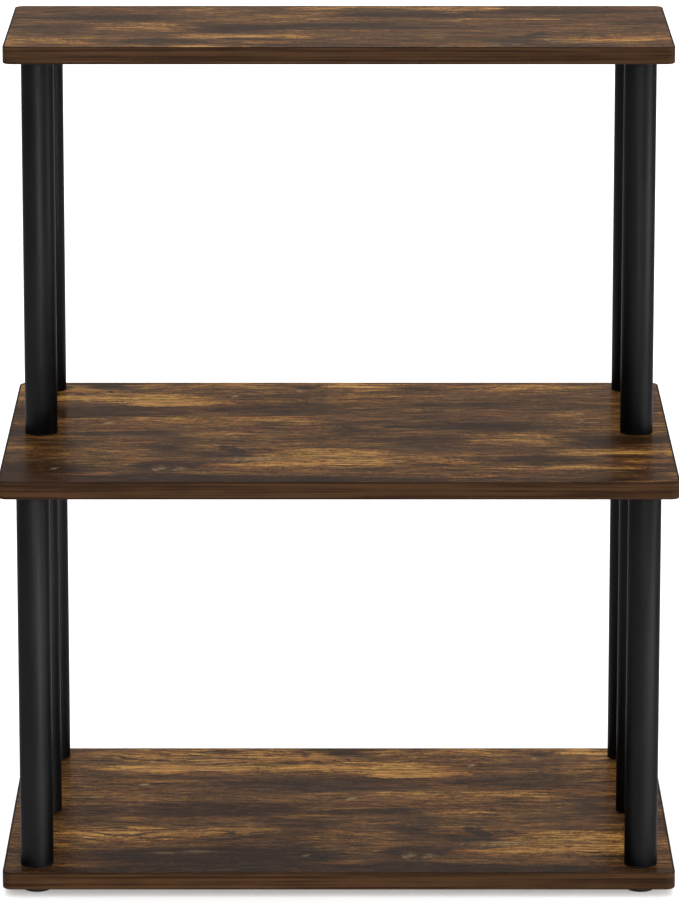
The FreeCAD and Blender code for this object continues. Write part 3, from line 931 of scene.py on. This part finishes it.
def mount(piece: bpy.types.Object, slot: Slot, finish: bpy.types.Material, *nodes: str) -> None:
    """Gives a new piece its finish, hangs it on the body and hides the solids that it replaces.

    Args:
        piece: the new piece.
        slot: the record's slot; not used.
        finish: its material.
        nodes: the solids that it replaces.
    """
    piece.data.materials.append(finish)
    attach(piece, BODY)
    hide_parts(*nodes)


def coat(node: str, finish: bpy.types.Material) -> None:
    """Gives a solid of the frame its finish.

    Args:
        node: the solid's name.
        finish: its material.
    """
    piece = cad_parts[node]
    piece.data.materials.clear()
    piece.data.materials.append(finish)


# Parts of the shelf


@dataclass
class ShelfBoard:
    """One board with the band round its edge."""

    level: Level
    print_shift: tuple[float, float]
    faces: BoardFinish = field(default_factory=BoardFinish)
    band: BandFinish = field(default_factory=BandFinish)

    @property
    def node(self) -> str:
        """The board's solid."""
        return f"{self.level.value}_board"

    def dress(self) -> None:
        """Puts the print on the board and the lines on its band."""
        low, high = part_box(self.node + "_edge_band")
        faces = self.faces.material(f"{self.level.value}_print", self.print_shift, high.y, high.z)
        coat(self.node, faces)
        band = self.band.material(
            f"{self.level.value}_band_lines", low, high, self.print_shift, self.faces.sheet
        )
        coat(self.node + "_edge_band", band)
        log.info("%s and its band: dressed", self.node)


@dataclass
class ScrewTube:
    """One black tube; its two plugs stay inside it."""

    node: str
    outer_radius: float = 14.7 * MM
    wall: float = 1.5 * MM
    end_round: float = 0.35 * MM
    round_segments: int = 3
    facets: int = 96

    def build(self) -> bpy.types.Object:
        """Turns the tube with softened ends.

        Returns:
            The tube, in its place.
        """
        low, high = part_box(self.node)
        bore = self.outer_radius - self.wall
        profile = (
            (bore, low.z), (self.outer_radius, low.z), (self.outer_radius, high.z), (bore, high.z),
        )
        shape = turned_ring(profile, self.facets)
        rims = []
        for edge in shape.edges:
            first, second = (corner.co for corner in edge.verts)
            rise, spread = first.z - second.z, first.xy.length - second.xy.length
            if max(abs(rise), abs(spread)) < SAME_PLACE:
                rims.append(edge)
        bmesh.ops.bevel(
            shape, geom=rims, offset=self.end_round, offset_type="OFFSET", profile=0.5,
            segments=self.round_segments, affect="EDGES", material=-1, clamp_overlap=True,
        )
        centre = (low + high) / 2
        bmesh.ops.translate(shape, verts=shape.verts, vec=(centre.x, centre.y, 0.0))
        return close_mesh(shape, self.node + "_skin")

    def dress(self, film: bpy.types.Material) -> None:
        """Builds the tube and coats it with the black film."""
        mount(self.build(), Slot.TUBE, film, self.node)
        log.info("%s: turned and coated", self.node)


@dataclass(frozen=True)
class CoarseThread:
    """A coarse moulded thread: a blunt ridge that climbs to the right round an upright axis."""

    pitch: float = 2.5 * MM
    root_width: float = 1.5 * MM
    crest_width: float = 0.6 * MM
    sunk: float = 0.06 * MM
    steps: int = 20

    def climb(
        self, shape: bmesh.types.BMesh, axis: Vector, low: float, high: float,
        wall: float, crest: float, phase: float,
    ) -> None:
        """Adds the ridge to a shape.

        Args:
            shape: the shape.
            axis: a point of the axis.
            low: where the ridge may start on Z.
            high: where it has to end.
            wall: the radius of the wall that it stands on.
            crest: the radius of its crest.
            phase: the share of a pitch by which it is set off, so that stud and socket mesh.
        """
        half = self.root_width / 2
        start = (math.ceil((low + half) / self.pitch - phase) + phase) * self.pitch
        count = int((high - half - start) / self.pitch * self.steps)
        if count < self.steps:
            return
        foot = wall - math.copysign(self.sunk, crest - wall)
        tip = self.crest_width / 2
        outline = ((foot, -half), (crest, -tip), (crest, tip), (foot, half))
        ridge = bmesh.new()
        corners = [
            ridge.verts.new((axis.x + radius, axis.y, start + rise)) for radius, rise in outline
        ]
        section = ridge.faces.new(corners)
        bmesh.ops.spin(
            ridge, geom=[section, *section.edges, *section.verts], cent=(axis.x, axis.y, 0),
            axis=(0, 0, 1), dvec=(0, 0, self.pitch / self.steps),
            angle=math.tau * count / self.steps, steps=count, use_merge=False, use_duplicate=False,
        )
        join(shape, ridge)


@dataclass
class ScrewedPart:
    """A moulded plug, foot or insert with its thread cut."""

    node: str
    thread: CoarseThread = CoarseThread()
    stud_root: float = 5.2 * MM
    stud_crest: float = 6.0 * MM
    stud_core: float = 3.0 * MM
    stud_end_wall: float = 3.0 * MM
    stud_chamfer: float = 1.0 * MM
    neck: float = 0.5 * MM
    bore: float = 6.2 * MM
    bore_crest: float = 5.45 * MM
    stud_phase: float = 0.0
    bore_phase: float = 0.5
    run_in: float = 0.8 * MM
    plug_depth: float = 23.6 * MM
    socket_depth: float = 17.0 * MM
    insert_depth: float = 9.8 * MM
    foot_height: float = 7.0 * MM
    facets: int = 48

    def build(self) -> bpy.types.Object:
        """Makes the part with its thread.

        Returns:
            The part, in its place.
        """
        low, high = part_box(self.node)
        axis = (low + high) / 2
        shape = copy_solid(self.node)
        if self.node.endswith("_foot"):
            self._stud(shape, axis, low.z + self.foot_height, high.z)
        elif self.node.endswith("_insert"):
            self._socket(shape, axis, low.z, low.z + self.insert_depth)
        elif high.z - low.z < self.plug_depth + self.run_in:
            face = low.z if self.node.endswith("_bottom_plug") else high.z
            inner = low.z + self.socket_depth if face == low.z else high.z - self.socket_depth
            self._socket(shape, axis, min(face, inner), max(face, inner))
        elif self.node.endswith("_bottom_plug"):
            self._stud(shape, axis, high.z - self.plug_depth, low.z)
        else:
            self._stud(shape, axis, low.z + self.plug_depth, high.z)
        return close_mesh(shape, self.node + "_threaded")

    def _stud(self, shape: bmesh.types.BMesh, axis: Vector, face: float, tip: float) -> None:
        """Changes a plain stud into a threaded one.

        Args:
            shape: the part.
            axis: a point of the stud's axis.
            face: where the stud leaves the part, on Z.
            tip: the stud's tip on Z.
        """
        way = math.copysign(1.0, tip - face)
        base = face + way * self.neck
        everything = [*shape.verts, *shape.edges, *shape.faces]
        cut = bmesh.ops.bisect_plane(
            shape, geom=everything, dist=ON_PLANE, plane_co=(0, 0, base), plane_no=(0, 0, way),
            clear_outer=True,
        )["geom_cut"]
        rims = [item for item in cut if isinstance(item, bmesh.types.BMEdge)]
        bmesh.ops.triangle_fill(shape, use_beauty=True, edges=rims)
        sunk = base - way * self.neck / 2
        roof = tip - way * self.stud_end_wall
        outline = (
            (0.0, roof), (self.stud_core, roof), (self.stud_core, sunk), (self.stud_root, sunk),
            (self.stud_root, tip - way * self.stud_chamfer),
            (self.stud_root - self.stud_chamfer, tip), (0.0, tip),
        )
        stud = turned_ring(outline, self.facets, closed=False)
        bmesh.ops.translate(stud, verts=stud.verts, vec=(axis.x, axis.y, 0.0))
        bmesh.ops.remove_doubles(stud, verts=stud.verts, dist=SAME_PLACE)
        join(shape, stud)
        end = tip - way * self.run_in
        self.thread.climb(
            shape, axis, min(base, end), max(base, end), self.stud_root, self.stud_crest,
            self.stud_phase,
        )

    def _socket(self, shape: bmesh.types.BMesh, axis: Vector, low: float, high: float) -> None:
        """Adds the thread to a plain bore.

        Args:
            shape: the part.
            axis: a point of the bore's axis.
            low: the bore's lower end on Z.
            high: its upper end.
        """
        self.thread.climb(
            shape, axis, low + self.run_in, high - self.run_in, self.bore, self.bore_crest,
            self.bore_phase,
        )

    def dress(self, slot: Slot, finish: bpy.types.Material) -> None:
        """Builds the part and gives it its plastic."""
        mount(self.build(), slot, finish, self.node)
        log.info("%s: threaded", self.node)


@dataclass
class SmallParts:
    """The moulded plugs, feet and inserts."""

    plug: MouldedPlastic = MouldedPlastic((0.0050, 0.0050, 0.0052), 0.55, gloss=0.02)
    foot: MouldedPlastic = MouldedPlastic((0.0080, 0.0075, 0.0070), 0.6)
    insert: MouldedPlastic = MouldedPlastic((0.050, 0.050, 0.050), 0.5)

    def dress(self) -> None:
        """Threads every small part and gives it its plastic."""
        kinds = (
            ("_plug", Slot.PLUG, self.plug.material("plug_plastic")),
            ("_foot", Slot.FOOT, self.foot.material("foot_plastic")),
            ("_insert", Slot.INSERT, self.insert.material("insert_plastic")),
        )
        for ending, slot, finish in kinds:
            nodes = sorted(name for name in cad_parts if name.endswith(ending))
            for node in nodes:
                ScrewedPart(node).dress(slot, finish)


def hang(name: str, lamp: bpy.types.Light, place: Vector, way: Vector) -> None:
    """Puts a light at a place, shining along a way."""
    turned = way.to_track_quat("-Z", "Y").to_matrix().to_4x4()
    new_object(name, lamp).matrix_world = Matrix.Translation(place) @ turned


@dataclass
class Softbox:
    """One soft light of the studio."""

    name: str
    place: Triple
    aim: Triple
    width: float
    height: float
    power: float
    spread: float = 180.0

    def build(self) -> None:
        """Puts the light in place."""
        lamp = bpy.data.lights.new(self.name, "AREA")
        lamp.shape = "RECTANGLE"
        lamp.size, lamp.size_y = self.width, self.height
        lamp.energy = self.power
        lamp.spread = math.radians(self.spread)
        hang(self.name, lamp, Vector(self.place), Vector(self.aim) - Vector(self.place))


@dataclass
class Daylight:
    """A very soft light from far away."""

    name: str
    azimuth: float
    elevation: float
    spread: float
    strength: float
    stand_off: float = 3.0

    def build(self) -> None:
        """Puts the light in place."""
        lamp = bpy.data.lights.new(self.name, "SUN")
        lamp.energy = self.strength
        lamp.angle = math.radians(self.spread)
        turn, rise = math.radians(self.azimuth), math.radians(self.elevation)
        level = math.cos(rise)
        toward = Vector((math.sin(turn) * level, -math.cos(turn) * level, math.sin(rise)))
        hang(self.name, lamp, self.stand_off * toward, -toward)


@dataclass
class Studio:
    """The pale floor, the soft lights and the camera."""

    floor_reach: float = 30.0
    floor_colour: Colour = (0.80, 0.80, 0.80)
    floor_glow: float = 0.40
    floor_roughness: float = 0.9
    floor_gloss: float = 0.1
    sky: Stops = (
        (0.00, (0.16, 0.16, 0.16)),
        (0.30, (0.20, 0.20, 0.20)),
        (0.55, (1.05, 1.05, 1.05)),
        (0.80, (1.20, 1.20, 1.20)),
    )
    lens: float = 235.5
    sensor: float = 36.0
    camera_place: Triple = (0.0006, -5.268, 1.622)
    camera_tilt: float = 13.49
    camera_reach: float = 100.0
    lights: tuple[Daylight | Softbox, ...] = (
        Daylight("upper_light", 190.0, 72.0, 60.0, 0.5),
        Daylight("back_light", 180.0, 48.0, 24.0, 1.2),
        Softbox(
            "lower_left_beam", (1.38, -2.24, 0.07), (-0.27, -0.17, -0.12), 0.6, 0.12, 2.5, 25.0
        ),
        Softbox(
            "upper_left_beam", (0.20, -2.98, 0.16), (-0.27, -0.006, 0.66), 0.9, 0.34, 0.9, 20.0
        ),
        Softbox(
            "lower_right_beam", (1.02, -0.56, 0.12), (0.27, -0.17, 0.00), 0.3, 0.22, 0.85, 64.0
        ),
        Softbox(
            "upper_right_beam", (0.98, -0.26, 0.52), (0.27, -0.006, 0.62), 0.26, 0.42, 0.56, 58.0
        ),
        Softbox("front_box", (-0.4, -4.2, 2.3), (0.0, 0.0, 0.30), 3.2, 1.6, 70.0),
    )

    def build(self) -> None:
        """Sets floor, sky, lights and camera."""
        self._floor()
        self._sky()
        for light in self.lights:
            light.build()
        self._camera()
        bpy.context.scene.view_settings.view_transform = "Standard"
        log.info("studio: %d lights", len(self.lights))

    def _floor(self) -> None:
        """Lays the pale floor, level with the underside of the feet."""
        shape = bmesh.new()
        bmesh.ops.create_grid(shape, x_segments=1, y_segments=1, size=self.floor_reach)
        mesh = bpy.data.meshes.new("studio_floor")
        shape.to_mesh(mesh)
        shape.free()
        material, bench, shader = new_material("pale_floor")
        bench.fill(shader, {
            "Base Color": (*self.floor_colour, 1.0),
            "Roughness": self.floor_roughness,
            "Specular IOR Level": self.floor_gloss,
            "Emission Color": (*self.floor_colour, 1.0),
            "Emission Strength": self.floor_glow,
        })
        mesh.materials.append(material)
        floor = new_object("studio_floor", mesh)

    def _sky(self) -> None:
        """Sets the even light from all round."""
        world = bpy.data.worlds.new("studio_sky")
        world.use_nodes = True
        tree = world.node_tree
        bench = NodeBench(tree)
        _, _, up = bench.split(bench.add("ShaderNodeTexCoord").outputs["Generated"])
        bench.feed(tree.nodes["Background"].inputs["Color"], bench.ramp(up, self.sky))
        bpy.context.scene.world = world

    def _camera(self) -> None:
        """Stands the camera at the photograph's station."""
        lens = bpy.data.cameras.new("studio_camera")
        lens.lens = self.lens
        lens.sensor_width = self.sensor
        lens.clip_end = self.camera_reach
        camera = new_object("studio_camera", lens)
        camera.location = self.camera_place
        camera.rotation_euler = (math.radians(90.0 - self.camera_tilt), 0.0, 0.0)
        bpy.context.scene.camera = camera


@dataclass
class KitchenShelf:
    """The whole shelf."""

    boards: tuple[ShelfBoard, ...] = (
        ShelfBoard(
            Level.BOTTOM, (0.0, 0.0),
            # the bottom board's band is a darker copy, 0.8 of the others' colours: painted shade
            # low down by the floor
            band=BandFinish(light=(0.0360, 0.0170, 0.0069), dark=(0.0136, 0.0059, 0.0025)),
        ),
        ShelfBoard(Level.MIDDLE, (222.0, 0.0)),
        ShelfBoard(Level.TOP, (562.0, 112.0)),
    )
    small_parts: SmallParts = field(default_factory=SmallParts)
    film: SatinBlack = SatinBlack()

    def build(self) -> None:
        """Dresses the boards, turns the tubes and dresses the rest."""
        for board in self.boards:
            board.dress()
        film = self.film.material("tube_film")
        for node in sorted(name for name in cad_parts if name.endswith("_tube")):
            ScrewTube(node).dress(film)
        self.small_parts.dress()


def main() -> None:
    """Builds the shelf and the studio."""
    logging.basicConfig(level=logging.INFO, format="%(name)s: %(message)s")
    KitchenShelf().build()
    Studio().build()


if __name__ == "__main__":
    main()
